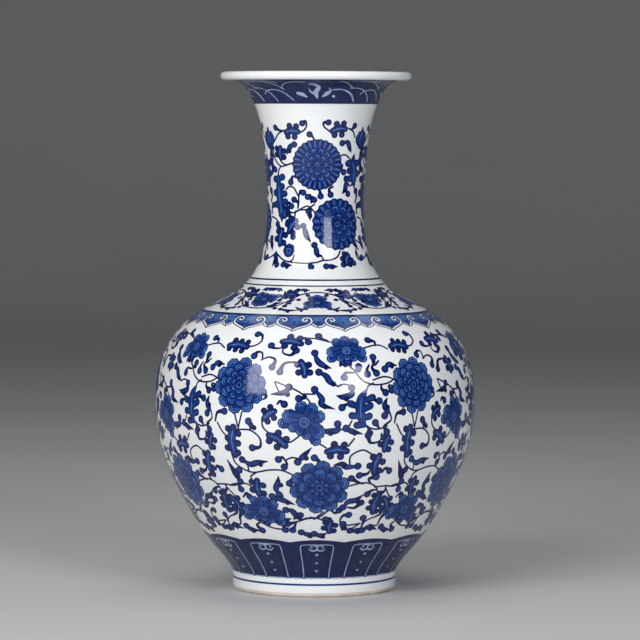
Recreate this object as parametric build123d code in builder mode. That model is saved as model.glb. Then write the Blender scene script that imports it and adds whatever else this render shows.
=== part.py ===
from build123d import *
import os
from math import cos, sin, radians

# A bottle vase with a flared mouth, a slender neck, a broad rounded belly and a low foot.
# It is built up as a potter builds it: five thrown sections of porcelain, luted together with
# slip, then coated with glaze outside, inside and under the base.
# Millimetres, +Z up, axis of the vase on Z, origin at the middle of the foot's contact plane.

# ---- wall ----
glaze = 0.5                 # thickness of every glaze coat
clay = 4.5                  # thickness of the thrown porcelain wall

# ---- foot and base ----
foot_radius = 57.0          # glazed outside of the foot
foot_height = 13.0          # the body starts to spread here
foot_round = 3.0            # rounding of the foot's lower outer edge
contact_inner = 49.5        # bare ring that the vase stands on
recess_radius = 47.5        # hollow under the base
recess_rim_radius = 48.5    # the same hollow at its mouth
recess_rim_height = 1.0
recess_height = 6.0         # glazed ceiling of that hollow
floor_height = 11.5         # glazed floor inside the vase
floor_radius = 46.0         # flat part of that floor

# ---- glazed outline from the top of the foot to the underside of the lip: radius, height ----
foot_top = (foot_radius, foot_height)
lower_belly = [(71.5, 32.0), (88.5, 58.0), (102.5, 86.0)]
widest_belly = [(110.0, 112.0), (111.2, 136.0), (107.5, 160.0)]
shoulder = [(94.5, 182.0), (69.5, 200.0), (50.0, 212.0)]
neck_root = [(40.0, 226.0), (35.2, 244.0)]
neck_line = [(33.5, 268.0), (35.3, 300.0), (39.0, 326.0)]
flare = [(46.0, 344.5), (62.5, 354.5)]
outline = [foot_top, *lower_belly, *widest_belly, *shoulder, *neck_root, *neck_line, *flare]
foot_slope = 65.0           # degrees above level, where the wall leaves the foot
lip_slope = -5.0            # degrees above level, where the wall reaches the lip
lip_tip = (66.6, 357.3)     # outermost point of the rolled lip

# ---- joints between the thrown sections ----
base_joint = 26.0
waist_joint = 131.0
neck_joint = 222.0
mouth_joint = 328.0
slip = 0.8                  # thickness of the luting slip between two sections
vase_height = 360.0
blank_radius = 130.0        # wider than the belly, for the bands that cut the sections


def direction(degrees):
    return (cos(radians(degrees)), sin(radians(degrees)))


with BuildLine() as glazed_line:
    Spline(*outline, tangents=(direction(foot_slope), direction(lip_slope)))
glazed_edge = glazed_line.edges()[0]


def wall_points(depth):
    """The outline's points, moved into the wall by depth along their normals."""
    moved = []
    for point in outline:
        along = glazed_edge.tangent_at(glazed_edge.param_at_point(Vector(*point)))
        moved.append((point[0] - along.Y * depth, point[1] + along.X * depth))
    return moved


def wall_directions():
    """The outline's directions at the same points."""
    return [glazed_edge.tangent_at(glazed_edge.param_at_point(Vector(*point))) for point in outline]


def wall_spline(depth):
    """The outline moved into the wall by depth. Drawn inside a BuildLine block."""
    return Spline(*wall_points(depth), tangents=wall_directions())


def inner_lines(depth, height):
    """The inside of the vase from its axis over the floor and up the wall to the lip."""
    wall = wall_spline(depth)
    flat = Line((0, height), (floor_radius, height))
    TangentArc(flat @ 1, wall @ 0, tangent=(1, 0))
    return wall @ 1


clay_outer = glaze
clay_inner = glaze + clay
glaze_inner = clay_inner + glaze
clay_foot = wall_points(clay_outer)[0]
clay_lip = wall_points(clay_outer)[-1]
clay_lip_top = wall_points(clay_inner)[-1]
glaze_lip_top = wall_points(glaze_inner)[-1]
clay_lip_tip = (lip_tip[0] - glaze, lip_tip[1])
recess_ceiling = recess_height + glaze

# ---- the whole porcelain wall in section, from the axis under the base round to the lip ----
with BuildSketch() as clay_section:
    with BuildLine():
        Line((0, floor_height - glaze), (0, recess_ceiling))
        Polyline(
            (0, recess_ceiling),
            (recess_radius, recess_ceiling),
            (recess_rim_radius, recess_rim_height),
            (contact_inner, 0),
            (clay_foot[0] - foot_round, 0),
        )
        TangentArc(
            (clay_foot[0] - foot_round, 0),
            (clay_foot[0], foot_round),
            tangent=(1, 0),
        )
        Line((clay_foot[0], foot_round), clay_foot)
        wall_spline(clay_outer)
        ThreePointArc(clay_lip, clay_lip_tip, clay_lip_top)
        inner_lines(clay_inner, floor_height - glaze)
    make_face()
clay_face = clay_section.sketch


def clay_band(low, high):
    """The part of the porcelain's section between two heights. Used inside a sketch block."""
    add(clay_face)
    with Locations((blank_radius / 2, (low + high) / 2)):
        Rectangle(blank_radius, high - low, mode=Mode.INTERSECT)


# ---- thrown sections ----
with BuildPart() as base_and_foot:
    with BuildSketch(Plane.XZ):
        clay_band(0, base_joint - slip / 2)
    revolve(axis=Axis.Z)

with BuildPart() as lower_body:
    with BuildSketch(Plane.XZ):
        clay_band(base_joint + slip / 2, waist_joint - slip / 2)
    revolve(axis=Axis.Z)

with BuildPart() as upper_body:
    with BuildSketch(Plane.XZ):
        clay_band(waist_joint + slip / 2, neck_joint - slip / 2)
    revolve(axis=Axis.Z)

with BuildPart() as neck:
    with BuildSketch(Plane.XZ):
        clay_band(neck_joint + slip / 2, mouth_joint - slip / 2)
    revolve(axis=Axis.Z)

with BuildPart() as mouth:
    with BuildSketch(Plane.XZ):
        clay_band(mouth_joint + slip / 2, vase_height)
    revolve(axis=Axis.Z)

# ---- luting slip between the sections ----
with BuildPart() as base_slip:
    with BuildSketch(Plane.XZ):
        clay_band(base_joint - slip / 2, base_joint + slip / 2)
    revolve(axis=Axis.Z)

with BuildPart() as waist_slip:
    with BuildSketch(Plane.XZ):
        clay_band(waist_joint - slip / 2, waist_joint + slip / 2)
    revolve(axis=Axis.Z)

with BuildPart() as neck_slip:
    with BuildSketch(Plane.XZ):
        clay_band(neck_joint - slip / 2, neck_joint + slip / 2)
    revolve(axis=Axis.Z)

with BuildPart() as mouth_slip:
    with BuildSketch(Plane.XZ):
        clay_band(mouth_joint - slip / 2, mouth_joint + slip / 2)
    revolve(axis=Axis.Z)

# ---- glaze coats ----
# Outside: from just above the foot's rounded edge, up the wall and over the lip.
with BuildPart() as outer_glaze:
    with BuildSketch(Plane.XZ):
        with BuildLine():
            Polyline(clay_foot, (clay_foot[0], foot_round), (foot_radius, foot_round), foot_top)
            Spline(*outline, tangents=(direction(foot_slope), direction(lip_slope)))
            ThreePointArc(outline[-1], lip_tip, glaze_lip_top)
            Line(glaze_lip_top, clay_lip_top)
            ThreePointArc(clay_lip_top, clay_lip_tip, clay_lip)
            wall_spline(clay_outer)
        make_face()
    revolve(axis=Axis.Z)

# Inside: over the floor and up the wall to the top of the lip.
with BuildPart() as inner_glaze:
    with BuildSketch(Plane.XZ):
        with BuildLine():
            inner_lines(clay_inner, floor_height - glaze)
            inner_lines(glaze_inner, floor_height)
            Line((0, floor_height - glaze), (0, floor_height))
            Line(clay_lip_top, glaze_lip_top)
        make_face()
    revolve(axis=Axis.Z)

# Under the base: the ceiling and the side of the hollow, short of the bare contact ring.
with BuildPart() as base_glaze:
    with BuildSketch(Plane.XZ):
        with BuildLine():
            Polyline(
                (0, recess_height),
                (recess_radius - glaze, recess_height),
                (recess_rim_radius - glaze, recess_rim_height),
                (recess_rim_radius, recess_rim_height),
                (recess_radius, recess_ceiling),
                (0, recess_ceiling),
                close=True,
            )
        make_face()
    revolve(axis=Axis.Z)

# ---- labels and files ----
base_and_foot.part.label = "base_and_foot"
lower_body.part.label = "lower_body"
upper_body.part.label = "upper_body"
neck.part.label = "neck"
mouth.part.label = "mouth"
base_slip.part.label = "base_slip"
waist_slip.part.label = "waist_slip"
neck_slip.part.label = "neck_slip"
mouth_slip.part.label = "mouth_slip"
outer_glaze.part.label = "outer_glaze"
inner_glaze.part.label = "inner_glaze"
base_glaze.part.label = "base_glaze"

os.makedirs("parts", exist_ok=True)
export_step(base_and_foot.part, "parts/base_and_foot.step")
export_step(lower_body.part, "parts/lower_body.step")
export_step(upper_body.part, "parts/upper_body.step")
export_step(neck.part, "parts/neck.step")
export_step(mouth.part, "parts/mouth.step")
export_step(base_slip.part, "parts/base_slip.step")
export_step(waist_slip.part, "parts/waist_slip.step")
export_step(neck_slip.part, "parts/neck_slip.step")
export_step(mouth_slip.part, "parts/mouth_slip.step")
export_step(outer_glaze.part, "parts/outer_glaze.step")
export_step(inner_glaze.part, "parts/inner_glaze.step")
export_step(base_glaze.part, "parts/base_glaze.step")
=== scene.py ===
# Looks for a blue-and-white porcelain bottle vase: glossy clear glaze over white porcelain, and
# the cobalt painting as thin slabs of colour that follow the glazed surface.
# Painted bands are drawn flat, in degrees round the vase and millimetres of height, then cut
# into one map of triangles per band and laid on the surface. Front of the vase: 0 degrees, -Y.

import math

import bpy
import numpy as np
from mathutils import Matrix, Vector
from mathutils.geometry import delaunay_2d_cdt


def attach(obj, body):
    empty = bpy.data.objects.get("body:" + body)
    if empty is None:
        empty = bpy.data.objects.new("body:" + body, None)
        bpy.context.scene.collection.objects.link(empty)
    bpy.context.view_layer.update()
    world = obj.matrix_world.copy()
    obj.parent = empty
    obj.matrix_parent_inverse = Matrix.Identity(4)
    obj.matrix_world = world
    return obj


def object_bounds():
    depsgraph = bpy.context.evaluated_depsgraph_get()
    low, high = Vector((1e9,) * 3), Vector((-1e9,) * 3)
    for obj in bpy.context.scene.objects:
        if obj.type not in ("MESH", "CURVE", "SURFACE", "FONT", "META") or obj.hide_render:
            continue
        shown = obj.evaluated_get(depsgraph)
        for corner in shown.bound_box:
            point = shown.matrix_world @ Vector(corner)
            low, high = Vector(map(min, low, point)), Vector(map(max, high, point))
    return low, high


MM = 0.001
FULL_TURN = 360.0

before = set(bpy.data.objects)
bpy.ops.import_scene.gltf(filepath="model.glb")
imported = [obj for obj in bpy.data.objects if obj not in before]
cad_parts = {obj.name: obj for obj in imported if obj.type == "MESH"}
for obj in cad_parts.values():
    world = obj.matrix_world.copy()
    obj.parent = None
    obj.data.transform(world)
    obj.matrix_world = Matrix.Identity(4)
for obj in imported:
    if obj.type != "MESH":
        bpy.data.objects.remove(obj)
cad_low, cad_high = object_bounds()
vase_height = cad_high.z - cad_low.z


# ---------- camera, light and floor

CAMERA_DISTANCE = 7.06 * vase_height
CAMERA_HEIGHT = 0.9117 * vase_height
CAMERA_SIDE = 0.0029
CAMERA_PITCH = math.radians(3.17)
CAMERA_ROLL = math.radians(-0.22)
CAMERA_LENS = 205.3
SENSOR_WIDTH = 36.0
CLIP_NEAR = 0.1
CLIP_FAR = 50.0

ROOM_COLOUR = (0.80, 0.82, 0.85, 1.0)
ROOM_STRENGTH = 0.12
# Each soft lamp: name, place, width and height in metres, watts, colour.
LAMPS = [
    ("key_left", (-0.92, -1.42, 0.90), 1.04, 1.22, 25.0, (1.0, 0.99, 0.97)),
    ("fill_right", (0.85, -1.55, 0.80), 0.60, 0.90, 13.5, (0.96, 0.98, 1.0)),
    ("top", (0.0, 0.15, 1.5), 1.2, 1.2, 5.0, (1.0, 1.0, 1.0)),
]


def make_camera():
    data = bpy.data.cameras.new("camera")
    data.lens = CAMERA_LENS
    data.sensor_width = SENSOR_WIDTH
    data.clip_start = CLIP_NEAR
    data.clip_end = CLIP_FAR
    camera = bpy.data.objects.new("camera", data)
    camera.location = (CAMERA_SIDE, -CAMERA_DISTANCE, CAMERA_HEIGHT)
    camera.rotation_euler = (math.pi / 2 - CAMERA_PITCH, CAMERA_ROLL, 0.0)
    bpy.context.collection.objects.link(camera)
    bpy.context.scene.camera = camera


def area_light(name, place, width, height, watts, colour):
    """A soft rectangular lamp at place, turned towards the middle of the vase."""
    data = bpy.data.lights.new(name, "AREA")
    data.shape = "RECTANGLE"
    data.size = width
    data.size_y = height
    data.energy = watts
    data.color = colour
    lamp = bpy.data.objects.new(name, data)
    lamp.location = place
    aim = Vector((0.0, 0.0, 0.5 * vase_height)) - Vector(place)
    lamp.rotation_euler = aim.to_track_quat("-Z", "Y").to_euler()
    bpy.context.collection.objects.link(lamp)


def make_lights():
    for lamp in LAMPS:
        area_light(*lamp)
    world = bpy.data.worlds.new("studio")
    world.use_nodes = True
    background = world.node_tree.nodes["Background"]
    background.inputs["Color"].default_value = ROOM_COLOUR
    background.inputs["Strength"].default_value = ROOM_STRENGTH
    bpy.context.scene.world = world
    bpy.context.scene.view_settings.view_transform = "Standard"


# ---------- node materials


class Nodes:
    """A material's node tree, with short calls to add and join nodes."""

    def __init__(self, name):
        self.material = bpy.data.materials.new(name)
        self.material.use_nodes = True
        self.tree = self.material.node_tree
        self.shader = self.tree.nodes["Principled BSDF"]

    def add(self, kind, **sockets):
        node = self.tree.nodes.new(kind)
        for key, value in sockets.items():
            node.inputs[key].default_value = value
        return node

    def join(self, source, target):
        self.tree.links.new(source, target)

    def noise(self, scale, detail, roughness=0.5):
        """Noise over the object's own space, in metres."""
        place = self.tree.nodes.new("ShaderNodeTexCoord")
        noise = self.add("ShaderNodeTexNoise", Scale=scale, Detail=detail, Roughness=roughness)
        self.join(place.outputs["Object"], noise.inputs["Vector"])
        return noise.outputs["Fac"]

    def ramp(self, source, stops):
        """Colours along a value: stops are (position, colour)."""
        node = self.tree.nodes.new("ShaderNodeValToRGB")
        while len(node.color_ramp.elements) < len(stops):
            node.color_ramp.elements.new(0.5)
        for element, (position, colour) in zip(node.color_ramp.elements, stops):
            element.position = position
            element.color = (*colour, 1.0)
        self.join(source, node.inputs["Fac"])
        return node.outputs["Color"]

    def span(self, source, low, high):
        """Maps 0 to 1 onto low to high."""
        node = self.tree.nodes.new("ShaderNodeMapRange")
        node.inputs["To Min"].default_value = low
        node.inputs["To Max"].default_value = high
        self.join(source, node.inputs["Value"])
        return node.outputs["Result"]

    def bump(self, source, strength, distance):
        node = self.add("ShaderNodeBump", Strength=strength, Distance=distance)
        self.join(source, node.inputs["Height"])
        self.join(node.outputs["Normal"], self.shader.inputs["Normal"])


GLAZE_ROUGHNESS = (0.07, 0.13)
GLAZE_IOR = 1.52
PAINT_IOR = 1.48


def glaze_gloss(nodes, ior=GLAZE_IOR):
    """The clear coat's gloss and its faint unevenness, shared by everything that lies under it."""
    nodes.shader.inputs["IOR"].default_value = ior
    sheen = nodes.span(nodes.noise(scale=60.0, detail=3.0), *GLAZE_ROUGHNESS)
    nodes.join(sheen, nodes.shader.inputs["Roughness"])
    nodes.bump(nodes.noise(scale=38.0, detail=2.0), strength=0.06, distance=0.002)


def mottled(name, scale, detail, low, high):
    """A new material whose colour drifts between two tones, over noise of this scale and detail."""
    nodes = Nodes(name)
    tone = nodes.ramp(nodes.noise(scale, detail), [(0.3, low), (0.7, high)])
    nodes.join(tone, nodes.shader.inputs["Base Color"])
    return nodes


def glaze_material(name, low, high):
    """Clear glaze over white porcelain."""
    nodes = mottled(name, 14.0, 4.0, low, high)
    glaze_gloss(nodes)
    return nodes.material


def cobalt_material(name, dark, middle, light):
    """Cobalt under the glaze: pooled brush wash with fine darker specks."""
    nodes = Nodes(name)
    brush = nodes.noise(scale=170.0, detail=6.0, roughness=0.65)
    wash = nodes.ramp(brush, [(0.28, dark), (0.5, middle), (0.74, light)])
    nodes.join(wash, nodes.shader.inputs["Base Color"])
    glaze_gloss(nodes, PAINT_IOR)
    return nodes.material


def biscuit_material():
    """Bare fired porcelain: matte, warm at the edge where the glaze stops."""
    nodes = mottled("bare_porcelain", 90.0, 5.0, (0.66, 0.56, 0.45), (0.80, 0.75, 0.68))
    nodes.shader.inputs["Roughness"].default_value = 0.75
    nodes.bump(nodes.noise(scale=900.0, detail=4.0), strength=0.25, distance=0.0004)
    return nodes.material


def slip_material():
    """Dried and fired luting slip between the sections."""
    nodes = mottled("luting_slip", 140.0, 4.0, (0.70, 0.67, 0.62), (0.82, 0.80, 0.76))
    nodes.shader.inputs["Roughness"].default_value = 0.8
    return nodes.material


def paper_material():
    """Matte studio paper with a faint grain."""
    nodes = mottled("studio_paper", 3.0, 3.0, (0.56, 0.565, 0.57), (0.59, 0.595, 0.60))
    nodes.shader.inputs["Roughness"].default_value = 0.9
    return nodes.material


SWEEP_INNER = 0.5  # metres: radius of the first ring of floor points
SWEEP_FLAT = 2.9  # radius of the flat floor round the vase
SWEEP_BEND = 1.5  # radius of the curve from the floor up into the wall
SWEEP_TOP = 5.0  # height of the top of the wall
SWEEP_STEPS = 24
SWEEP_SIDES = 96


def make_floor():
    """Paper all round: flat under the vase, then curving up into the backdrop."""
    profile = [(SWEEP_INNER, 0.0)]
    for step in range(SWEEP_STEPS + 1):
        turn = math.pi / 2 * step / SWEEP_STEPS
        profile.append((SWEEP_FLAT + SWEEP_BEND * math.sin(turn), SWEEP_BEND * (1 - math.cos(turn))))
    profile.append((SWEEP_FLAT + SWEEP_BEND, SWEEP_TOP))
    points = [(0.0, 0.0, 0.0)]
    for radius, height in profile:
        for side in range(SWEEP_SIDES):
            turn = 2 * math.pi * side / SWEEP_SIDES
            points.append((radius * math.cos(turn), radius * math.sin(turn), height))
    faces = [(0, 1 + side, 1 + (side + 1) % SWEEP_SIDES) for side in range(SWEEP_SIDES)]
    for row in range(len(profile) - 1):
        low = 1 + row * SWEEP_SIDES
        high = low + SWEEP_SIDES
        for side in range(SWEEP_SIDES):
            following = (side + 1) % SWEEP_SIDES
            faces.append((low + side, high + side, high + following, low + following))
    mesh = bpy.data.meshes.new("floor")
    mesh.from_pydata(points, [], faces)
    mesh.polygons.foreach_set("use_smooth", [True] * len(faces))
    mesh.materials.append(paper_material())
    floor = bpy.data.objects.new("floor", mesh)
    bpy.context.collection.objects.link(floor)


# ---------- the glazed surface

PATH_STEP = 0.5  # millimetres between samples along the profile
SMOOTHING = 5  # samples in the moving average that evens out the profile
PATH_TOP_RADIUS = 61.5  # the painted surface ends just inside the lip
FLARE_START = 0.94  # above this share of the height the profile runs outwards, not up
WALL_FACES_OUT = 0.3  # normals of the outside wall point outwards by more than this
FLARE_FACES_DOWN = -0.5  # and those under the flare point down by more than this


def read_profile():
    """Radius and height of the outer glaze, in mm, along its profile from the foot to the lip."""
    wall = set()
    flare = set()
    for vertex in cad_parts["outer_glaze"].data.vertices:
        x, y, z = vertex.co
        radius = math.hypot(x, y)
        outwards = (vertex.normal.x * x + vertex.normal.y * y) / radius
        point = (round(radius / MM, 2), round(z / MM, 2))
        if z < FLARE_START * vase_height:
            if outwards > WALL_FACES_OUT:
                wall.add(point)
        elif vertex.normal.z < FLARE_FACES_DOWN and point[0] < PATH_TOP_RADIUS:
            flare.add(point)
    return sorted(wall, key=lambda p: p[1]) + sorted(flare)


class Surface:
    """The outside of the vase as a path: radius, height and outward normal against path length."""

    def __init__(self):
        rough = np.array(read_profile())
        step = np.hypot(*np.diff(rough, axis=0).T)
        length = np.concatenate([[0.0], np.cumsum(step)])
        self.path = np.arange(0.0, length[-1], PATH_STEP)
        self.radius = np.interp(self.path, length, rough[:, 0])
        self.height = np.interp(self.path, length, rough[:, 1])
        slope_r = self.even(np.gradient(self.radius, PATH_STEP))
        slope_z = self.even(np.gradient(self.height, PATH_STEP))
        size = np.hypot(slope_r, slope_z)
        self.normal_r = slope_z / size
        self.normal_z = -slope_r / size

    def even(self, values):
        padded = np.pad(values, SMOOTHING, mode="edge")
        kernel = np.hanning(2 * SMOOTHING + 3)[1:-1]
        return np.convolve(padded, kernel / kernel.sum(), mode="valid")

    def path_at(self, height):
        return float(np.interp(height, self.height, self.path))

    def radius_at(self, path):
        return float(np.interp(path, self.path, self.radius))

    def place(self, degrees, path, lift):
        """3-D points in metres and their normals, for arrays of angle and path length."""
        radius = np.interp(path, self.path, self.radius)
        height = np.interp(path, self.path, self.height)
        out = np.interp(path, self.path, self.normal_r)
        up = np.interp(path, self.path, self.normal_z)
        around = np.radians(degrees)
        outward = np.stack([np.sin(around), -np.cos(around)], axis=-1)
        reach = (radius + lift * out)[:, None]
        points = np.column_stack([outward * reach, height + lift * up]) * MM
        normals = np.column_stack([outward * out[:, None], up])
        return points, normals


surface = Surface()


# ---------- painting: bands and pens

LINE = "line"  # dark outlines, stems and knobs
WASH = "wash"  # brushed blue of petals and leaves
PALE = "pale"  # thin blue of veins and petal edges
DEEP = "deep"  # dark ground of the rim and foot bands
SOFT = "soft"  # light ground of the ruyi band
MIST = "mist"  # fine light lines on the dark grounds, and a grey-blue ring of painted shade where the lappet band meets the foot
BARE = "bare"  # left unpainted: the white shows
LIFT = 0.13  # the paint's top face stands this far above the glazed surface
SINK = 0.10  # and its bottom face lies this far below it
CURVE_STEPS = 5  # points per stretch of a drawn curve
CAP_POINTS = 3  # extra points round the end of a stroke
DISC_POINTS = 12  # points round a small disc
FLOWER_POINTS = 40  # and round the disc under a full flower
STEM = 1.15  # millimetres: width of a plain stem
THINNEST = 0.05  # millimetres: no stroke is thinner
THINNEST_FILL = 0.1  # nor a fill inside an outline
KNOB_EDGE = 0.95  # millimetres: dark edge of a round bud
CELL_MARGIN = 1.0  # degrees that a plain ring runs past its cell
WELD_DECIMALS = 3  # points of neighbouring cells that agree this far are one point
INSIDE_ONLY = 1  # the triangulation's mode: keep what lies inside the outlines
SMALL = 1e-5  # smaller lengths count as none


def smooth(points, steps):
    """A Catmull-Rom curve through rows of numbers."""
    rows = np.asarray(points, dtype=float)
    if len(rows) < 3:
        share = np.linspace(0.0, 1.0, steps + 1)[:, None]
        return rows[0] * (1 - share) + rows[-1] * share
    ends = np.vstack([2 * rows[0] - rows[1], rows, 2 * rows[-1] - rows[-2]])
    curve = []
    for before, start, end, after in zip(ends, ends[1:], ends[2:], ends[3:]):
        for t in np.arange(steps) / steps:
            bend = 2 * start + (end - before) * t
            bend = bend + (2 * before - 5 * start + 4 * end - after) * t * t
            bend = bend + (3 * start - 3 * end + after - before) * t ** 3
            curve.append(0.5 * bend)
    curve.append(ends[-2])
    return np.array(curve)


def spread(width, count):
    """One width for each of count points, from a single width or a list."""
    if isinstance(width, (int, float)):
        return [width] * count
    return np.interp(np.linspace(0, 1, count), np.linspace(0, 1, len(width)), width)


class Band:
    """A painted band: one cell of shapes, in degrees and path millimetres, repeated all round.

    low and high are heights, start is in degrees, widths has one width in degrees for each repeat.
    The shapes are drawn in the first cell. grid is about the longest edge in millimetres.
    """

    def __init__(self, name, low, high, start, widths, grid):
        self.name = name
        self.low = surface.path_at(low)
        self.high = surface.path_at(high)
        self.start = start
        self.widths = widths
        self.drawn = widths[0]
        self.grid = grid
        self.shapes = []
        self.scale = math.radians(1.0) * surface.radius_at((self.low + self.high) / 2)

    def area(self, tone, points):
        """Adds a filled shape, its long edges divided so that they bend with the surface."""
        rows = np.asarray(points, dtype=float)
        dense = []
        for start, end in zip(rows, np.roll(rows, -1, axis=0)):
            reach = math.hypot((end[0] - start[0]) * self.scale, end[1] - start[1])
            pieces = max(1, math.ceil(reach / self.grid))
            dense.extend(start + (end - start) * part / pieces for part in range(pieces))
        self.shapes.append((tone, np.array(dense)))

    def ribbon(self, tone, points, width, steps=CURVE_STEPS):
        """A brush stroke of varying width, round-ended, along points in degrees and path."""
        rows = np.column_stack([np.asarray(points, dtype=float), spread(width, len(points))])
        line = smooth(rows, steps)
        centre = line[:, :2]
        half = np.maximum(line[:, 2], THINNEST) / 2
        per_degree = math.radians(1.0) * np.interp(centre[:, 1], surface.path, surface.radius)
        along = np.gradient(centre, axis=0) * np.column_stack([per_degree, np.ones(len(centre))])
        along = along / np.maximum(np.hypot(*along.T), SMALL)[:, None]
        side = np.column_stack([-along[:, 1], along[:, 0]])

        def shifted(index, across, forward):
            step = (side[index] * across + along[index] * forward) * half[index]
            return centre[index] + step / (per_degree[index], 1.0)

        last = len(centre) - 1
        turns = np.linspace(0, math.pi, CAP_POINTS + 2)[1:-1]
        outline = [shifted(i, -1.0, 0.0) for i in range(last + 1)]
        outline += [shifted(last, -math.cos(t), math.sin(t)) for t in turns]
        outline += [shifted(i, 1.0, 0.0) for i in range(last, -1, -1)]
        outline += [shifted(0, math.cos(t), -math.sin(t)) for t in turns]
        self.area(tone, outline)

    def stem(self, points, width=STEM, tone=LINE):
        """A stroke through points in degrees and millimetres of height: a plain stem unless told."""
        placed = [(degrees, surface.path_at(height)) for degrees, height in points]
        self.ribbon(tone, placed, width)

    def ring(self, height, width, tone=LINE):
        """A plain line all round at one height."""
        path = surface.path_at(height)
        low, high = path - width / 2, path + width / 2
        left, right = self.start - CELL_MARGIN, self.start + self.drawn + CELL_MARGIN
        self.area(tone, [(left, low), (right, low), (right, high), (left, high)])

    def cell_outline(self):
        """The cell's rectangle, with points along its sides for the triangles to share."""
        left, right = self.start, self.start + self.drawn
        rows = np.linspace(self.low, self.high, max(2, int((self.high - self.low) / self.grid)) + 1)
        columns = np.linspace(left, right, max(2, int(self.drawn * self.scale / self.grid)) + 1)
        edge = [(x, self.low) for x in columns[:-1]]
        edge += [(right, y) for y in rows[:-1]]
        edge += [(x, self.high) for x in columns[:0:-1]]
        edge += [(left, y) for y in rows[:0:-1]]
        inside = [(x, y) for y in rows[1:-1] for x in columns[1:-1]]
        return edge, inside

    def triangles(self):
        """Cuts the cell into triangles. Returns points in degrees and path, and triangles by tone."""
        edge, inside = self.cell_outline()
        points, loops, tones = list(edge), [list(range(len(edge)))], [BARE]
        for tone, shape in self.shapes:
            for shift in (-self.drawn, 0.0, self.drawn):
                moved = shape + (shift, 0.0)
                if moved[:, 0].max() < self.start or moved[:, 0].min() > self.start + self.drawn:
                    continue
                loops.append(list(range(len(points), len(points) + len(moved))))
                points.extend(map(tuple, moved))
                tones.append(tone)
        points.extend(inside)
        flat = [Vector((x * self.scale, y)) for x, y in points]
        cut = delaunay_2d_cdt(flat, [], loops, INSIDE_ONLY, SMALL, True)
        places = np.array([(v.x / self.scale, v.y) for v in cut[0]])
        by_tone = {}
        for corners, covering in zip(cut[2], cut[5]):
            if 0 not in covering:
                continue
            tone = tones[max(covering)]
            if tone != BARE:
                by_tone.setdefault(tone, []).append(corners)
        return places, by_tone

    def build(self, materials, pieces=1):
        """Makes closed slabs for each tone, each slab over an equal share of the cells."""
        places, by_tone = self.triangles()
        share = len(self.widths) // pieces
        for tone, cell in by_tone.items():
            for piece in range(pieces):
                first = piece * share
                name = f"paint_{self.name}_{tone}" + (f"_{piece + 1}" if pieces > 1 else "")
                self.build_slab(name, places, cell, first, first + share, materials[tone])

    def build_slab(self, name, places, cell, first, end, material):
        """One tone's slab over the cells from first up to, but not including, end."""
        seen, angles, paths, triangles = {}, [], [], []
        begin = self.start + sum(self.widths[:first])
        for width in self.widths[first:end]:
            for corners in cell:
                triangle = []
                for corner in corners:
                    x, y = places[corner]
                    angle = begin + (x - self.start) * width / self.drawn
                    turned = round((angle - self.start) % FULL_TURN, WELD_DECIMALS) % FULL_TURN
                    key = (turned, round(y, WELD_DECIMALS))
                    if key not in seen:
                        seen[key] = len(angles)
                        angles.append(angle)
                        paths.append(y)
                    triangle.append(seen[key])
                if len(set(triangle)) == 3:
                    triangles.append(triangle)
            begin += width
        make_slab(name, np.array(angles), np.array(paths), triangles, material)


def make_slab(name, angles, paths, triangles, material):
    """A thin closed slab over the given triangles of the glazed surface."""
    top, normals = surface.place(angles, paths, LIFT)
    bottom, _ = surface.place(angles, paths, -SINK)
    count = len(top)
    faces = [tuple(t) for t in triangles]
    faces += [(c + count, b + count, a + count) for a, b, c in triangles]
    edges = dict.fromkeys(edge for a, b, c in triangles for edge in ((a, b), (b, c), (c, a)))
    for a, b in edges:
        if (b, a) not in edges:
            faces.append((b, a, a + count, b + count))
    mesh = bpy.data.meshes.new(name)
    mesh.from_pydata(np.vstack([top, bottom]).tolist(), [], faces)
    mesh.polygons.foreach_set("use_smooth", [True] * len(mesh.polygons))
    mesh.normals_split_custom_set_from_vertices(np.vstack([normals, normals]).tolist())
    mesh.materials.append(material)
    piece = bpy.data.objects.new(name, mesh)
    bpy.context.collection.objects.link(piece)
    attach(piece, "root")


class Pen:
    """Draws in millimetres round one point of a band: u along, v across, turned anticlockwise."""

    def __init__(self, band, degrees, height, turn=0.0):
        self.band = band
        self.degrees = degrees
        self.path = surface.path_at(height)
        self.along = (math.cos(math.radians(turn)), math.sin(math.radians(turn)))

    def placed(self, points):
        u, v = np.asarray(points, dtype=float).T
        path = self.path + u * self.along[1] + v * self.along[0]
        reach = u * self.along[0] - v * self.along[1]
        radius = np.interp(path, surface.path, surface.radius)
        return np.column_stack([self.degrees + np.degrees(reach / radius), path])

    def stroke(self, tone, points, width, steps=CURVE_STEPS):
        self.band.ribbon(tone, self.placed(points), width, steps)

    def disc(self, tone, u, v, radius, count=DISC_POINTS):
        turns = np.linspace(0, 2 * math.pi, count, endpoint=False)
        self.polygon(tone, [(u + radius * math.cos(t), v + radius * math.sin(t)) for t in turns])

    def polygon(self, tone, points):
        self.band.area(tone, self.placed(points))

    def outlined(self, parts, edge=0.65):
        """Strokes that join into one shape: a dark outline round a brushed fill."""
        for points, width in parts:
            self.stroke(LINE, points, width)
        for points, width in parts:
            inner = [max(w - 2 * edge, THINNEST_FILL) for w in spread(width, len(points))]
            self.stroke(WASH, points, inner)

    def knob(self, u, v, radius):
        """A round bud: dark edge, brushed middle."""
        self.disc(LINE, u, v, radius)
        if radius > 2 * KNOB_EDGE:
            self.disc(WASH, u, v, radius - KNOB_EDGE)


# ---------- painting: motifs

# Numbers inside a motif are millimetres, or shares of the motif's own length or width.

LONG_LEAF = 18.0  # longer leaves have three pairs of lobes, others two
BUD = 2.4  # radius of the round buds
LOBE = 3.8  # width of the lobes of the longest leaves
NARROW_PETAL = 5.2  # narrower petals carry a streak, wider ones arcs


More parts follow.
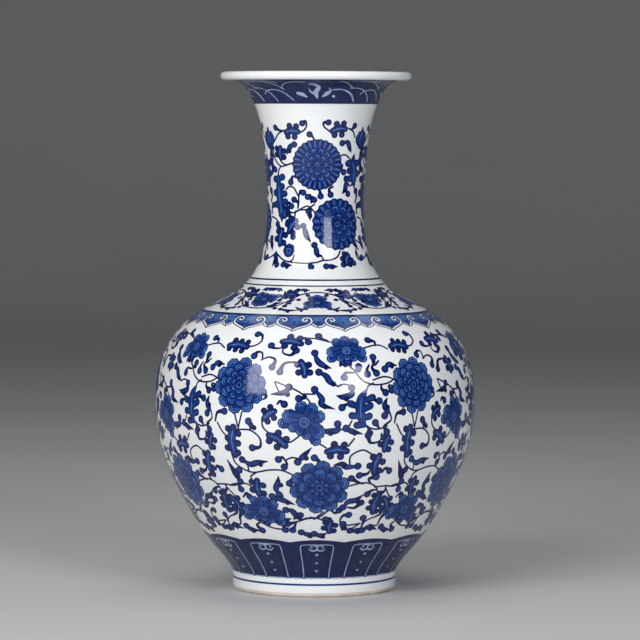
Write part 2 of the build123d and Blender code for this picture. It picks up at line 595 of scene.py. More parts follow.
def oak_leaf(pen, length):
    """A fleshy leaf along u: a bent spine with a round lobe at each end and pairs along it."""
    lobe = 1.35 + 0.05 * length
    end = 0.5 * length - lobe
    if length > LONG_LEAF:
        shares, reach, ball = (-0.27, 0.01, 0.29), 0.09 * length + 2.0, 1.95 * lobe
    else:
        shares, reach, ball = (-0.18, 0.21), 0.10 * length + 2.4, 2.35 * lobe
    lobes = []
    for share in shares:
        for side in (-1, 1):
            tip = ((share + 0.05 * side) * length, side * reach)
            lobes.append(([(share * length, 0), tip], [0.9 * lobe, ball]))
    spine = [(-end, -0.07 * length), (0, 0.04 * length), (end, 0)]
    pen.outlined(lobes, 1.3)
    pen.outlined([(spine, [2.1 * lobe, 2.7 * lobe, 2.2 * lobe])], 1.1)
    for points, width in lobes:
        pen.stroke(LINE, points, 0.8)
    vein = [(-0.28, -0.04), (0, 0.04), (0.3, 0.01)]
    pen.stroke(PALE, [(u * length, v * length) for u, v in vein], 0.55)


def bud(band, degrees, height, radius):
    Pen(band, degrees, height).knob(0, 0, radius)


def hook(band, points, size):
    """A stem that thickens and ends in a round bud; points in degrees and height."""
    band.stem(points, [1.2] * (len(points) - 2) + [1.9 * size, 3.4 * size])
    bud(band, *points[-1], BUD * size)


def leaflet(band, points, size):
    """A bent leaflet from a round bud at the first point to a fine tip at the last."""
    middle = len(points) - 2
    widths = [1.5 * size] + [3.8 * size] * middle + [0.5]
    band.stem(points, widths)
    band.stem(points[:-1], [max(0.3, width - 2.0) for width in widths[:-1]], WASH)
    bud(band, *points[0], 1.02 * BUD * size)
    bud(band, points[middle][0] + 1.0 * size, points[middle][1] - 1.2 * size, 0.7 * BUD * size)


def petal(pen, angle, inner, outer, wide):
    """One petal pointing away from the pen's point: dark outline, wash, pale arcs and a dark vein."""
    c, s = math.cos(angle), math.sin(angle)

    def at(distance, across=0.0):
        return (distance * c - across * s, distance * s + across * c)

    tip = outer - wide / 2
    base = min(inner, tip - 0.5)
    pen.stroke(LINE, [at(base), at(tip)], [wide * 0.75, wide], 2)
    pen.stroke(WASH, [at(base), at(tip)], [wide * 0.75 - 1.2, wide - 1.5], 2)
    if wide < NARROW_PETAL:
        pen.stroke(PALE, [at(base + 2.0), at(tip + 0.1 * wide)], [0.3, 0.55], 2)
        return
    for bend in (wide / 2 - 1.5, wide / 2 - 3.1):
        if bend > 0.8:
            turns = (-1.3, -0.65, 0.0, 0.65, 1.3)
            arc = [at(tip + bend * math.cos(t), bend * math.sin(t)) for t in turns]
            pen.stroke(PALE, arc, [0.3, 0.6, 0.45, 0.6, 0.3], 2)
    pen.stroke(LINE, [at(base), at(tip)], [1.0, 0.4], 2)


def bloom(pen, rings, heart, notch):
    """A full flower head: rings of petals, drawn from the outside in, round a small heart.

    Each ring is (petals, inner radius, outer radius, turn in petals); notch is how far the gaps
    between the outer petals cut in.
    """
    pen.disc(LINE, 0, 0, rings[0][2] - notch, FLOWER_POINTS)
    for count, inner, outer, shift in rings:
        wide = 2 * math.pi * (outer - 0.22 * (outer - inner)) / count * 0.98
        wide = min(wide, (outer - inner) * 1.5)
        for index in range(count):
            petal(pen, 2 * math.pi * (index + shift) / count, inner, outer, wide)
    pen.disc(LINE, 0, 0, heart)
    pen.disc(PALE, 0, 0, heart - 0.7)
    pen.disc(LINE, 0, 0, heart - 1.2)


# Petals of a side flower, back to front, as (base, tip, width) in tenths of the flower's width.
CROWN_PETALS = [((0.9, 0.8), (2.1, 2.3), 2.7), ((0.0, 0.8), (0.0, 2.9), 2.8)]
WING_PETALS = [((1.4, -0.8), (3.9, -2.1), 2.3), ((1.0, 0.2), (3.4, -0.4), 3.2)]
SKIRT_PETALS = [((0.4, -0.8), (1.6, -1.9), 2.2), ((0.0, -0.8), (0.0, -1.9), 1.8)]


def side_flower(pen, width, tall=1.0):
    """A flower seen from the side: upright petals, broad drooping wings, a skirt, a round heart."""
    unit = width / 10
    for base, tip, wide in CROWN_PETALS + WING_PETALS + SKIRT_PETALS:
        for side in (-1, 1) if tip[0] else (1,):
            turn = math.atan2((tip[1] - base[1]) * tall, side * (tip[0] - base[0]))
            rows = [(side * u * unit, v * unit * tall) for u, v in (base, tip)]
            across = wide * unit * (0.6 + 0.4 * tall)
            pen.outlined([(rows, [0.8 * across, across])])
            for bend in (0.5 * across - 1.2, 0.5 * across - 3.0):
                if bend > 0.6:
                    u, v = rows[1]
                    turns = [turn + t for t in (-1.3, -0.5, 0.5, 1.3)]
                    arc = [(u + bend * math.cos(t), v + bend * math.sin(t)) for t in turns]
                    pen.stroke(PALE, arc, [0.3, 0.7, 0.7, 0.3], 2)
            pen.stroke(LINE, rows, [1.0, 0.4])
    heart = 1.3 * unit
    pen.disc(LINE, 0, 0, heart)
    pen.disc(PALE, 0, 0, heart - 0.7)
    pen.disc(WASH, 0, 0, heart - 1.3)
    pen.stroke(PALE, [(-0.6 * unit, -0.3 * unit), (0, 0.4 * unit), (0.6 * unit, -0.2 * unit)], 0.5)


# ---------- painting: the belly scroll

BELLY_FRONT = 66.0  # degrees from one upper flower to the next across the front
BELLY_REST = (FULL_TURN - BELLY_FRONT) / 5
BELLY_START = -38.0  # no flower crosses this edge

UPPER_BLOOM = [(10, 11.0, 20.0, 0.2), (10, 8.5, 15.2, 0.7), (9, 5.0, 10.8, 0.0), (6, 2.0, 6.6, 0.5)]
LOWER_BLOOM = [(10, 11.5, 20.8, 0.3), (8, 6.0, 14.8, 0.0), (8, 2.5, 7.5, 0.5)]

# Leaves of the cell: degrees round, height in mm, turn in degrees, length in mm.
BELLY_LEAVES = [
    (-31, 175, -8, 18.5), (-9, 178, -12, 17), (-30, 111, 84, 24), (-13, 113, -38, 17.5),
    (8, 106, -4, 17.5), (23, 96, 75, 17), (26, 110, 70, 13), (-22.5, 79, 85, 16), (-34.5, 68, -65, 15),
    (26, 68, 80, 18.5), (7, 52, 80, 12), (-4, 161, -80, 14), (-16, 130, 30, 13),
]
# Leaflets from bud to tip, hooks from stem to bud, and stems: degrees round and height in mm.
BELLY_LEAFLETS = [
    [(0, 171), (1, 166), (3, 163), (6, 161)], [(1.5, 158.5), (4, 156), (5.5, 152), (8, 149.5)],
    [(13, 148), (13, 144), (10, 142), (7.5, 143)], [(0, 147), (2.5, 141), (2.5, 137), (7, 134)],
    [(-9, 148.5), (-10.5, 145), (-15.5, 143.5)], [(25, 129), (26, 132), (25, 136), (26, 141)],
    [(8, 124), (8, 120), (4.5, 119), (2.5, 121)], [(11, 121), (13, 119), (17, 117)],
    [(26, 160), (28, 163), (31.5, 162)], [(-27, 98.5), (-24, 95.5), (-21, 97), (-17, 98)],
    [(-6, 98), (-4, 102), (-1, 108)], [(-29, 91), (-31, 90), (-33.5, 98)],
    [(-29.5, 83), (-31, 88), (-33, 95)], [(16, 95), (12, 94.5), (10, 96.5), (7, 96)],
    [(-14, 75), (-15, 79), (-14, 83), (-13.5, 88)], [(-17, 73.5), (-14.5, 72), (-12, 70.5), (-8, 68)],
    [(12, 66), (14, 70), (17, 71), (20, 75)], [(-33, 51), (-31, 49), (-26, 48)],
    [(17, 49), (20, 49), (24, 51)], [(23, 49), (26, 51), (31, 49)], [(-6, 48), (-3, 46.5), (0, 47)],
    [(0, 47), (3, 45.8), (6, 47.5)], [(13, 54), (13.2, 52), (13, 49)],
    [(-23.5, 125), (-22.5, 122), (-23, 119)], [(-12, 64), (-9.5, 63.5), (-8, 60), (-9, 57)],
    [(12, 165), (10, 164.5), (9, 162)], [(-16, 57), (-13, 56.5), (-10, 58)],
]
BELLY_HOOKS = [
    [(-27, 174.5), (-24, 175), (-21.5, 178), (-22, 182), (-24, 182.5)],
    [(-11, 176), (-13, 174), (-16, 174), (-17, 175.5)],
    [(-12, 175), (-12, 171), (-9, 169.5), (-7, 172.5)],
    [(-19.5, 166), (-20, 170.5), (-22, 171), (-23, 168.5)],
    [(-20, 166), (-17, 168), (-14.5, 166), (-15.5, 161.5)], [(-7, 165), (-11, 164), (-12.5, 158.5)],
    [(5, 179), (3, 180), (1.5, 182)], [(-7, 180), (-4, 180.5), (-2.5, 178)],
    [(24, 175.5), (24, 178), (21.5, 179)], [(24, 165.5), (22, 163), (22, 168)],
    [(22, 164), (21, 161), (22.5, 157.5)], [(20, 163), (19, 160), (19, 157)],
    [(14, 160), (16, 159), (16, 162)], [(14, 158), (11, 158), (10.5, 155)],
    [(24, 150), (24, 147), (25.5, 144.5)], [(13, 137), (11, 137), (9.5, 135)],
    [(-4, 144), (-3, 142), (-5.5, 141)], [(-37, 124), (-36, 130), (-33, 131)],
    [(-28, 119), (-23, 119), (-19.5, 114), (-19.5, 108), (-22.5, 107)],
    [(27, 131), (27.5, 126), (25, 122), (26, 118)], [(23, 120.5), (22.5, 122), (21.5, 124.5)],
    [(18, 123), (19, 121), (19.5, 117.5)], [(24, 117), (23.5, 112), (20, 111), (19, 116)],
    [(21, 92), (20, 89.5), (17, 88.5)], [(19, 82.5), (16.5, 84), (14, 86.5)],
    [(22, 82.5), (21, 86), (24, 87)], [(-10.5, 99), (-11.5, 101), (-13, 99.5)],
    [(-10.5, 99), (-10, 96.5), (-11, 94.5)], [(1, 95), (2, 98), (0, 101)],
    [(-34, 80.5), (-31, 81), (-30, 77.5)], [(-37, 80), (-37, 77), (-39, 75)],
    [(-30, 72), (-28, 75), (-27, 72.5)], [(25, 78), (23, 77.5), (21.5, 75)],
    [(14, 66), (17, 65.5), (19.5, 69)], [(21, 54), (14, 53), (11.5, 56), (12.5, 60), (15, 60.5)],
    [(22, 51), (22.5, 55), (22, 58)], [(8, 55), (7, 58), (5, 57.5)], [(-3, 58.5), (-6, 57), (-6, 60.5)],
    [(-7, 56), (-9, 55), (-12, 54)], [(-8, 55), (-9, 52), (-10, 49.5)],
    [(-12, 53), (-14, 52), (-13.5, 49.5)], [(-25, 54.5), (-24, 56), (-21.5, 54)],
    [(-25, 54.5), (-27, 52), (-25, 48.5)], [(-40, 53), (-36, 52), (-35, 57), (-33, 61)],
    [(-13, 137), (-12, 139), (-10.5, 137)], [(28, 59), (30, 60), (30, 63)],
    [(-36, 148), (-39, 149), (-38, 146)], [(26, 90), (27, 93), (29, 91)],
    [(-18, 140), (-17, 142), (-18, 145)], [(-7, 88), (-8.5, 86), (-9.5, 83)],
    [(20, 143), (21, 140), (23, 139)], [(7, 64), (9, 62), (10.5, 64)],
]
BELLY_LONG_LEAF = (
    [(18.5, 147), (16.5, 141), (16, 134), (16.3, 128), (18, 122)],
    [((17, 139), (20.5, 141.5)), ((16, 135), (12.5, 137.5)), ((16, 132), (19.6, 136)),
     ((16, 129), (13, 129.5)), ((16.5, 127), (19.3, 129)), ((17.5, 123), (14.8, 123))],
)
BELLY_STEMS = [
    [(-7, 180), (-3, 180.5), (1, 180), (6, 178)], [(19, 174), (23, 175.5), (26, 175.5), (29, 173)],
    [(11.5, 169), (12, 164), (14, 160), (17, 153), (21, 150), (26, 150.5), (29, 153)],
    [(15, 169), (13.5, 165), (13, 161)], [(21, 153), (25, 155), (28, 154), (31, 151)],
    [(18, 145), (19, 149), (21, 151)], [(8, 149), (10, 150.5), (12, 150)],
    [(-14, 152), (-11, 150), (-7, 147), (-4, 143.5), (-1.5, 138), (-2, 132)],
    [(-14, 151.5), (-13.5, 149), (-12.5, 145.5)], [(-4, 144), (0, 144)],
    [(-18.5, 127), (-18, 121), (-15, 116)], [(-29, 131), (-27.5, 120)], [(-26, 131), (-27.5, 120)],
    [(-36, 123), (-34, 117), (-31, 112)], [(-11, 111), (-8, 112), (-4, 118)],
    [(-1, 118), (1, 112), (4, 108)], [(12, 109), (14, 114)], [(18, 122), (22, 120), (26, 122)],
    [(5, 119), (11, 121), (13, 126)],
    [(-31, 102), (-30, 96), (-27, 92), (-23, 90), (-17, 92), (-12, 92), (-8, 89)],
    [(-25, 91), (-25, 95)], [(-22, 90), (-24.5, 87), (-24, 83)], [(-10.5, 99), (-8, 101), (-5, 100)],
    [(-42, 80), (-37, 80.5), (-33, 80), (-28, 82), (-25, 80)], [(-37, 79), (-34, 73), (-32, 70)],
    [(13, 95), (13, 102), (17, 106), (20, 104), (22, 101)],
    [(12, 80.5), (18, 83), (22, 82.5), (25, 79), (26, 74)],
    [(-22, 74), (-18, 71), (-14, 71), (-12.5, 74)], [(6, 64), (2, 59), (-3, 58), (-7, 56)],
    [(4, 63), (0, 57.5)], [(-2, 59), (2, 58), (6, 55)],
    [(-28, 58), (-24, 54), (-20, 51), (-15, 50), (-12, 51)], [(22, 54), (25, 57), (29, 59)],
    [(17, 50), (19, 52), (21, 54)],
]


def scatter(band, leaves, leaflets, hooks, stems, size):
    """Paints a band's small motifs from their lists of places, buds and leaflets at one size."""
    for points in stems:
        band.stem(points)
    for points in hooks:
        hook(band, points, size)
    for points in leaflets:
        leaflet(band, points, size)
    for degrees, height, turn, length in leaves:
        oak_leaf(Pen(band, degrees, height, turn), length)


def long_leaf(band, spine, lobes):
    """A long bent leaf: a tapering spine with round lobes."""
    for tone, slim in ((LINE, 0.0), (WASH, 1.9)):
        band.stem(spine, [1.4, 1.6 * LOBE - slim, 1.8 * LOBE - slim, 1.6 * LOBE - slim, 1.2], tone)
        for points in lobes:
            band.stem(points, [0.9 * LOBE - slim, 1.35 * LOBE - slim], tone)
    band.stem(spine[1:4], 0.6, PALE)


def belly_band():
    """Two full flowers, one high and one low, and three seen from the side, in a leafy scroll."""
    widths = [BELLY_FRONT] + [BELLY_REST] * 5
    band = Band("belly", 43.5, 184.5, BELLY_START, widths, grid=4.5)
    scatter(band, BELLY_LEAVES, BELLY_LEAFLETS, BELLY_HOOKS, BELLY_STEMS, size=1.08)
    long_leaf(band, *BELLY_LONG_LEAF)
    bloom(Pen(band, -27.5, 149.0), UPPER_BLOOM, 2.6, 4.0)
    bloom(Pen(band, 2.0, 80.0), LOWER_BLOOM, 2.8, 4.0)
    side_flower(Pen(band, 12.0, 172.5), 28)
    side_flower(Pen(band, -3.5, 125.0, -28), 32, 1.1)
    side_flower(Pen(band, -22.0, 62.5, -10), 31)
    return band


# ---------- painting: the neck scroll

NECK_CELL = 120.0  # degrees
NECK_UPPER_BLOOM = [(26, 10.5, 18.0, 0.0), (12, 7.0, 12.0, 0.5), (8, 3.0, 8.0, 0.0)]
NECK_LOWER_BLOOM = [(20, 11.0, 18.3, 0.5), (11, 6.5, 13.6, 0.0), (7, 2.5, 8.0, 0.5)]
NECK_LEAVES = [
    (-26, 319, -3, 13), (25, 320.5, 3, 14), (-28, 254, 50, 13), (-43, 246, 80, 14), (-43, 304, 85, 11),
    (35, 231, 60, 10), (-40, 264, -80, 11),
]
NECK_LEAFLETS = [
    [(-24, 310), (-28, 309), (-31, 306.5), (-34, 303)],
    [(30, 311), (37, 311.5), (40, 308), (43, 304.5)], [(38, 286.5), (38, 283), (37, 279.5), (33, 276)],
    [(-14, 254), (-12, 251), (-10, 247), (-5, 243)], [(-8, 264), (-7, 262), (-6, 258)],
    [(-1, 241), (1, 238), (2, 235), (6, 233)], [(-50, 255), (-48, 252), (-49, 248)],
    [(-59, 245), (-57, 241), (-54, 237)], [(-47, 233.5), (-46, 230), (-48, 226)],
    [(-34, 227.5), (-30, 227), (-24, 227)], [(45, 245), (49, 242), (55, 237)],
    [(11, 226.5), (16, 226.5), (23, 226.2)], [(-60, 299), (-58, 294), (-59, 289)],
    [(-57, 308), (-59, 304), (-62, 300)],
]
NECK_HOOKS = [
    [(-17, 318), (-12, 320), (-9.5, 323), (-10.5, 326), (-14, 324.5)],
    [(15, 319), (9, 322), (8, 325), (13, 325.2)], [(-34, 319.5), (-41, 319.5), (-47, 321.5)],
    [(37, 321), (41, 320.5), (44.5, 323)], [(-2, 314), (-4, 316), (-6.5, 317)],
    [(-22, 287), (-27, 288), (-30, 284)], [(-20, 270), (-20, 274), (-18, 278), (-14.5, 277)],
    [(-5, 270), (-6, 275), (-9, 274)], [(-5, 270), (-4, 274), (-1.5, 272)],
    [(3, 279), (5, 278), (6, 274.5)], [(21, 281), (16, 279.5), (18, 275.5)],
    [(-21, 266), (-21, 270), (-26, 272)], [(-36, 268), (-33, 270), (-29.5, 267.5)],
    [(-54, 303), (-58, 297), (-53, 292.5)], [(32, 296), (31, 293), (34, 291)],
    [(37, 279), (39, 278), (41.5, 276)], [(-30, 250), (-27, 249), (-26, 246.5)],
    [(-29, 258), (-31, 259), (-34, 256.5)], [(-45, 234), (-43, 230), (-42, 227)],
    [(-2, 229), (-6, 228), (-4, 226)], [(37, 236), (32, 234), (33, 230), (29.5, 227.5)],
    [(38, 233), (41, 231), (43, 228.5)], [(49, 236), (50, 232), (55, 230.5), (58, 232)],
    [(54, 270), (57, 274), (55, 278)], [(58, 262), (57, 266), (60, 268)],
]
NECK_STEMS = [
    [(-36, 319.5), (-44, 317), (-51, 312)], [(37, 321), (43, 319), (47, 315)],
    [(-53, 308), (-54, 303), (-50, 298), (-43, 295), (-36, 295.5), (-26, 297.5)],
    [(-44, 300), (-42, 298), (-36, 296), (-27, 297)], [(-43, 295), (-47, 292), (-48, 288)],
    [(28, 302), (33, 303), (38, 302), (45, 298)], [(-37, 279), (-32, 281), (-26, 280), (-21, 275)],
    [(-36, 268), (-34, 265), (-28, 263), (-22, 264), (-15, 266.5), (-8, 267.5), (0, 263)],
    [(-24, 264), (-18, 265), (-10, 265.5), (-1, 269)], [(-24, 264), (-25, 260), (-25, 256)],
    [(-62, 260), (-52, 258), (-44, 252)],
    [(-45, 234.5), (-35, 230.5), (-28, 229.5), (-24, 231), (-23, 234)],
    [(-70, 238), (-67, 232.5), (-58, 231.5), (-50, 234), (-47, 236)],
    [(-30, 229.5), (-15, 228.6), (0, 229), (8, 231), (6, 234)],
    [(28, 237), (24, 233), (17, 231), (7, 230.5)], [(40, 284), (44, 281.5), (48, 283)],
    [(47, 284), (51, 281), (54, 279)], [(47, 247), (52, 244), (60, 242)],
]
# The two long leaves beside the upper flower: a spine, then lobes as pairs of points.
NECK_LONG_LEAVES = [
    ([(-49, 289), (-48, 281), (-47, 272), (-44, 263), (-43, 257)],
     [((-48, 286), (-41.5, 287.5)), ((-48, 286), (-54, 286)), ((-48, 279), (-42.5, 281)),
      ((-47, 276), (-39, 276)), ((-48, 276), (-55, 276.5)), ((-46, 270), (-38, 270.5)),
      ((-46, 269), (-54, 268.5))]),
    ([(48, 303), (47, 297), (50, 291), (50, 286), (52, 281)],
     [((47, 297), (39.5, 297)), ((48, 298), (55, 297)), ((49, 292), (42, 292)),
      ((50, 289), (43.5, 286.5)), ((50, 291), (56, 290))]),
]


def lantern_flower(pen):
    """A closed flower: a fat pointed middle between two side petals, on a small base."""
    for side in (-1, 1):
        pen.outlined([([(side * 1.5, -5.2), (side * 4.2, -0.5), (side * 3.4, 4.5)], [3.5, 5.2, 1.8])])
    pen.outlined([([(0, -5.5), (0, 0.5), (0, 7.5)], [4.5, 7.4, 1.6])])
    pen.stroke(PALE, [(-1.6, -3.0), (-1.8, 0.5), (0, 4.5), (1.8, 0.5), (1.6, -3.0)], 0.5)


def cup_flower(pen):
    """A small round flower: overlapping petals in a ball with a pale swirl."""
    pen.outlined([([(-2.6, -0.5), (-2.2, 2.4)], [4.2, 3.6]), ([(2.6, -0.5), (2.2, 2.4)], [4.2, 3.6])])
    pen.outlined([([(0, 1.0), (0, 3.2)], [4.0, 3.4])])
    pen.knob(0, -1.0, 4.0)
    pen.stroke(PALE, [(-2.2, 0.2), (-0.8, 1.4), (1.4, 0.6), (1.3, -1.6), (-0.6, -2.0), (-0.8, -0.5)], 0.55)


def neck_band():
    """Two full flowers, one above the other, in a scroll with closed and cup-shaped flowers."""
    band = Band("neck", 224.5, 328.0, -60.0, [NECK_CELL] * 3, grid=3.0)
    scatter(band, NECK_LEAVES, NECK_LEAFLETS, NECK_HOOKS, NECK_STEMS, size=0.95)
    for spine, lobes in NECK_LONG_LEAVES:
        long_leaf(band, spine, lobes)
    lantern_flower(Pen(band, 59, 314))
    bloom(Pen(band, 2.0, 296.2), NECK_UPPER_BLOOM, 2.2, 0.6)
    bloom(Pen(band, 26.5, 255.2), NECK_LOWER_BLOOM, 2.4, 0.9)
    cup_flower(Pen(band, -30, 237.2))
    return band


# ---------- painting: the shoulder

SHOULDER_CELL = 72.0  # degrees
# Given for one side of the lower flower; the other side mirrors them.
SHOULDER_LEAFLETS = [
    [(-28.5, 206), (-25.5, 207), (-21, 205.5)], [(-27, 200), (-24.5, 201.5), (-20, 203)],
    [(-17.5, 200.5), (-16, 203), (-12.5, 205)], [(-19, 198.5), (-15, 197.8), (-9, 198)],
    [(-33, 210.8), (-28.5, 211), (-25, 210)], [(-13, 210.6), (-8, 210.8), (-4, 210.5)],
    [(-46, 204), (-47.5, 207), (-46, 210)], [(-5, 199), (-8, 198.5), (-11, 200)],
]
SHOULDER_BUDS = [
    (-10.5, 204.5), (-12, 207.5), (-22.5, 199), (-44, 200), (-45, 202), (-28, 203), (-5, 207.3),
]
LOW_FLOWER = 1.5  # degrees round of the flower under the stem, and of the one over it
HIGH_FLOWER = -34.5
WAVE_STEPS = 12  # points per wave of the stem
WAVE_MIDDLE = 204.0  # millimetres of height
WAVE_RISE = 5.2
WAVE_ROUNDNESS = 0.6  # below 1 the wave's tops are broader than a cosine's


def shoulder_band():
    """Small flowers in the bends of one waving stem."""
    widths = [SHOULDER_CELL] * 5
    band = Band("shoulder", 196.2, 211.9, -55.0, widths, grid=3.5)
    wave = []
    for step in range(-2, WAVE_STEPS + 3):
        lift = math.cos(2 * math.pi * step / WAVE_STEPS)
        height = WAVE_MIDDLE + WAVE_RISE * math.copysign(abs(lift) ** WAVE_ROUNDNESS, lift)
        wave.append((LOW_FLOWER - SHOULDER_CELL + SHOULDER_CELL * step / WAVE_STEPS, height))
    band.stem(wave, 1.2)
    for side in (-1, 1):
        for points in SHOULDER_LEAFLETS:
            moved = [(LOW_FLOWER + side * (LOW_FLOWER - degrees), height) for degrees, height in points]
            leaflet(band, moved, size=0.75)
        for degrees, height in SHOULDER_BUDS:
            bud(band, LOW_FLOWER + side * (LOW_FLOWER - degrees), height, radius=1.7)
        oak_leaf(Pen(band, LOW_FLOWER + 19 * side, 207.6), length=11)
    side_flower(Pen(band, LOW_FLOWER, 202.6), 19, tall=1.35)
    side_flower(Pen(band, HIGH_FLOWER, 204.4, 172), 19, tall=1.35)
    return band


LINE_CELL = 60.0  # degrees


def line_bands():
    """The two lines at the root of the neck and the line on the foot."""
    pair = Band("neck_lines", 211.6, 219.0, 0.0, [LINE_CELL] * 6, grid=3.0)
    pair.ring(217.2, 1.3, DEEP)
    pair.ring(213.3, 1.1, DEEP)
    foot = Band("foot_line", 6.0, 12.95, 0.0, [LINE_CELL] * 6, grid=3.0)
    foot.ring(8.9, 1.3, WASH)
    return [pair, foot]


# ---------- painting: the ruyi band

RUYI_CELL = FULL_TURN / 16
RUYI_CENTRE = -9.5
RUYI_TOP = 195.0  # the plain strip that joins the heads, in millimetres of height
RUYI_HEM = 191.4

# Halves of the outlines, in millimetres, from the bottom middle upwards on the right.
RUYI_DROP = [(0, -5.2), (2.4, -4.2), (4.4, -1.8), (5.0, 1.0), (4.4, 3.0)]
RUYI_HEAD = [(0, -7.9), (2.8, -5.9), (6.8, -4.2), (10.4, -2.2), (11.8, 0.6), (10.9, 3.6)]
RUYI_CURL = [(8.6, 5.0), (6.0, 4.2), (5.6, 1.8), (7.6, 1.2), (8.4, 2.8)]


def mirrored(points):
    """A half outline, from the bottom middle upwards on the right, with its mirror image."""
    return points + [(-u, v) for u, v in reversed(points[1:])]


def edged(pen, points):
    """A white line between two dark ones."""
    pen.stroke(LINE, points, 2.5)
    pen.stroke(BARE, points, 1.15)


def ruyi_band():
    """Cloud-shaped heads with curled shoulders, hanging from a line, and a drop between each two."""
    start, end = RUYI_CENTRE - RUYI_CELL / 2, RUYI_CENTRE + RUYI_CELL / 2
    band = Band("ruyi", 184.0, 195.9, start, [RUYI_CELL] * 16, grid=3.5)
    left, right = start - CELL_MARGIN, end + CELL_MARGIN
    top, low = surface.path_at(RUYI_TOP), surface.path_at(RUYI_HEM)
    band.area(SOFT, [(left, low), (right, low), (right, top), (left, top)])
    for side in (-1, 1):
        pen = Pen(band, RUYI_CENTRE + side * RUYI_CELL / 2, 190.9)
        pen.polygon(SOFT, smooth(mirrored(RUYI_DROP), 3))
        for half in (-1, 1):
            edged(pen, [(half * u, v) for u, v in RUYI_DROP])
        pen.polygon(WASH, [(-2.6, -1.4), (0, -3.0), (2.6, -1.4), (0, 0.2)])
    pen = Pen(band, RUYI_CENTRE, 190.5)
    pen.polygon(SOFT, smooth(mirrored(RUYI_HEAD), 3))
    pen.stroke(WASH, [(-7.5, -1.8), (0, -3.6), (7.5, -1.8)], [1.6, 3.6, 1.6])
    for side in (-1, 1):
        edged(pen, [(side * u, v) for u, v in RUYI_HEAD + RUYI_CURL])
        pen.stroke(LINE, [(side * 2.2, 0.4), (side * 4.0, -0.6)], 0.6)
    pen.disc(LINE, 0, -0.4, 0.9)
    band.ring(194.7, 1.9)
    return band


# ---------- painting: the foot band

LAPPET_COUNT = 13
LAPPET_CELL = FULL_TURN / LAPPET_COUNT
LAPPET_CENTRE = 1.5
LAPPET_BOTTOM = 13.8  # heights in millimetres: the ground's lower edge, and the lowest points
LAPPET_TOP = 40.0  # of its scalloped top, which rises by SCALLOP in the middle of a cell
SCALLOP = 1.9
SCALLOP_STEPS = 24
PANEL_HALF = 8.4  # degrees from a panel's middle to its side line


def lappet_band():
    """Upright panels on a dark ground, each with a hanging trefoil and three dots."""
    start = LAPPET_CENTRE - LAPPET_CELL / 2
    widths = [LAPPET_CELL] * LAPPET_COUNT
    band = Band("lappet", 13.1, 43.4, start, widths, grid=4.0)
    top = []
    for step in range(-1, SCALLOP_STEPS + 2):
        share = step / SCALLOP_STEPS
        height = LAPPET_TOP + SCALLOP * abs(math.sin(math.pi * share))
        top.append((start + share * LAPPET_CELL, surface.path_at(height)))
    bottom = surface.path_at(LAPPET_BOTTOM)
    band.area(DEEP, [(top[0][0], bottom), (top[-1][0], bottom)] + top[::-1])
    band.ribbon(LINE, top, 1.1, 2)
    # A grey-blue ring just under the dark ground: painted shade of the small groove where the band meets
    # the foot.
    band.ring(13.5, 1.0, MIST)
    half = PANEL_HALF
    panel = [(-half, 14.0), (-half, 24.0), (-half - 0.2, 33.0), (-half - 0.1, 37.2), (-half + 1.4, 38.6)]
    panel += [(0, 38.9)] + [(-degrees, height) for degrees, height in reversed(panel)]
    for tone, width in ((LINE, 2.3), (MIST, 0.75)):
        band.stem([(LAPPET_CENTRE + degrees, height) for degrees, height in panel], width, tone)
    inner = [(-half + 2.0, 14.5), (-half + 1.9, 34.5)]
    for side in (-1, 1):
        band.stem([(LAPPET_CENTRE + side * degrees, height) for degrees, height in inner], 0.7)
    pen = Pen(band, LAPPET_CENTRE, 36.0)
    pen.stroke(MIST, [(0, 3.4), (0, -1.4)], [1.2, 1.0])
    for side in (-1, 1):
        leg = [(0, -1.2), (side * 3.2, -2.1), (side * 5.6, -0.1)]
        curl = [(0, 1.8), (side * 2.8, 3.0), (side * 4.4, 1.6), (side * 3.2, 0.6)]
        pen.stroke(MIST, leg, [1.2, 1.3, 0.6])
        pen.stroke(MIST, curl, [0.9, 0.8, 0.7, 0.9])
    for height, radius in ((31.3, 1.15), (25.0, 0.95), (19.0, 0.9)):
        Pen(band, LAPPET_CENTRE, height).disc(MIST, 0, 0, radius)
    return band


# ---------- painting: the rim band

RIM_CELL = 90.0  # degrees
# Wave crests: points in degrees round and millimetres of height.
RIM_WAVES = [
    [(-49, 344.5), (-45, 346.8), (-37, 347.6), (-29, 346.0), (-20, 340.5)],
    [(-76, 347.5), (-66, 347.5), (-58, 344.5), (-54, 340.0)],
    [(-29, 348.5), (-25, 351.6), (-17, 352.8), (-8, 352.6)],
    [(15, 347.8), (22, 347.7), (30, 345.0), (36, 339.5)],
    [(29, 348.8), (39, 348.4), (48, 345.2), (54, 339.5)],
    [(18, 353.3), (25, 352.0), (31, 348.8)],
    [(27, 353.6), (44, 353.3), (56, 351.0), (63, 347.8)],
    [(-54, 353.4), (-40, 353.3), (-31, 352.2)],
]


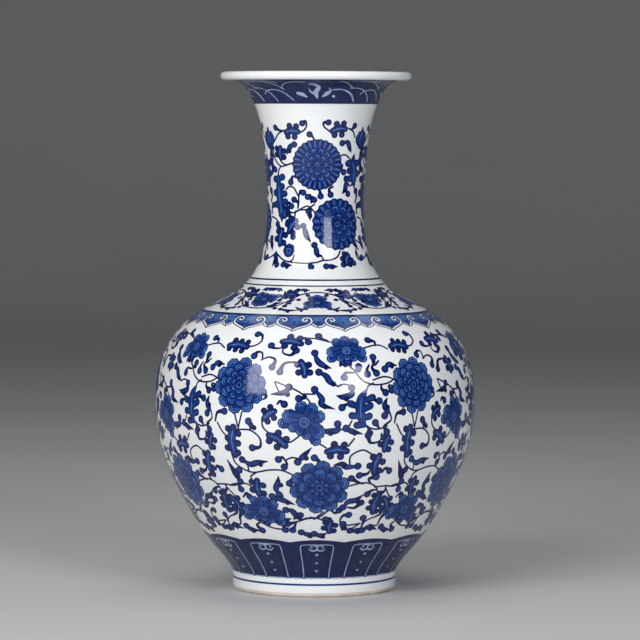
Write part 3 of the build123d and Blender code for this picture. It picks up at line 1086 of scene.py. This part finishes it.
def rim_band():
    """Overlapping wave crests with a splash of foam between them, on a dark ground."""
    band = Band("rim", 337.9, 354.35, -45.0, [RIM_CELL] * 4, grid=3.0)
    low, high = surface.path_at(338.1), band.high - 0.4
    band.area(DEEP, [(-50, low), (50, low), (50, high), (-50, high)])
    band.ring(338.3, 0.8)
    for wave in RIM_WAVES:
        band.stem(wave, 1.9)
    for wave in RIM_WAVES:
        band.stem(wave, 0.7, MIST)
    pen = Pen(band, 0, 346.5)
    foam = [
        ([(1, -5.0), (0, -1), (2, 3.5), (-1.5, 6.0), (-5, 6.2)], [1.2, 3.4, 2.6, 2.0, 0.8]),
        ([(0, -2), (-3.4, -0.5), (-4.6, 2.0)], [2.4, 1.4, 0.6]),
        ([(-12.5, -1.5), (-9, -2.6), (-6, -4.6)], [2.0, 2.6, 0.8]),
        ([(4.5, -4.2), (7.5, -1.8), (10, 0.2), (9.4, 2.6)], [0.8, 2.8, 1.8, 0.8]),
    ]
    for points, width in foam:
        pen.stroke(MIST, points, width)
    pen.disc(MIST, 12.2, -3.8, 1.0)
    return band


# ---------- put together

make_camera()
make_lights()
GLAZE = glaze_material("clear_glaze_over_white", (0.80, 0.825, 0.85), (0.86, 0.875, 0.885))
INNER = glaze_material("clear_glaze_inside", (0.76, 0.785, 0.80), (0.84, 0.85, 0.86))
BISCUIT = biscuit_material()
SLIP = slip_material()
for name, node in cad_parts.items():
    if name == "outer_glaze":
        look = GLAZE
    elif name.endswith("glaze"):
        look = INNER
    elif name.endswith("slip"):
        look = SLIP
    else:
        look = BISCUIT
    node.data.materials.clear()
    node.data.materials.append(look)
make_floor()

# Darkest, middle and lightest colour of each tone.
TONE_COLOURS = {
    LINE: [(0.001, 0.003, 0.045), (0.002, 0.006, 0.070), (0.006, 0.015, 0.12)],
    WASH: [(0.003, 0.018, 0.12), (0.007, 0.038, 0.20), (0.020, 0.070, 0.29)],
    PALE: [(0.04, 0.12, 0.38), (0.08, 0.19, 0.48), (0.14, 0.27, 0.58)],
    DEEP: [(0.002, 0.006, 0.050), (0.004, 0.012, 0.080), (0.012, 0.028, 0.13)],
    SOFT: [(0.02, 0.065, 0.26), (0.045, 0.12, 0.36), (0.09, 0.19, 0.46)],
    MIST: [(0.24, 0.32, 0.50), (0.34, 0.43, 0.60), (0.46, 0.55, 0.70)],
}
COBALT = {tone: cobalt_material(f"cobalt_{tone}", *colours) for tone, colours in TONE_COLOURS.items()}
belly_band().build(COBALT, pieces=3)
for band in [neck_band(), shoulder_band(), ruyi_band(), lappet_band(), rim_band(), *line_bands()]:
    band.build(COBALT)
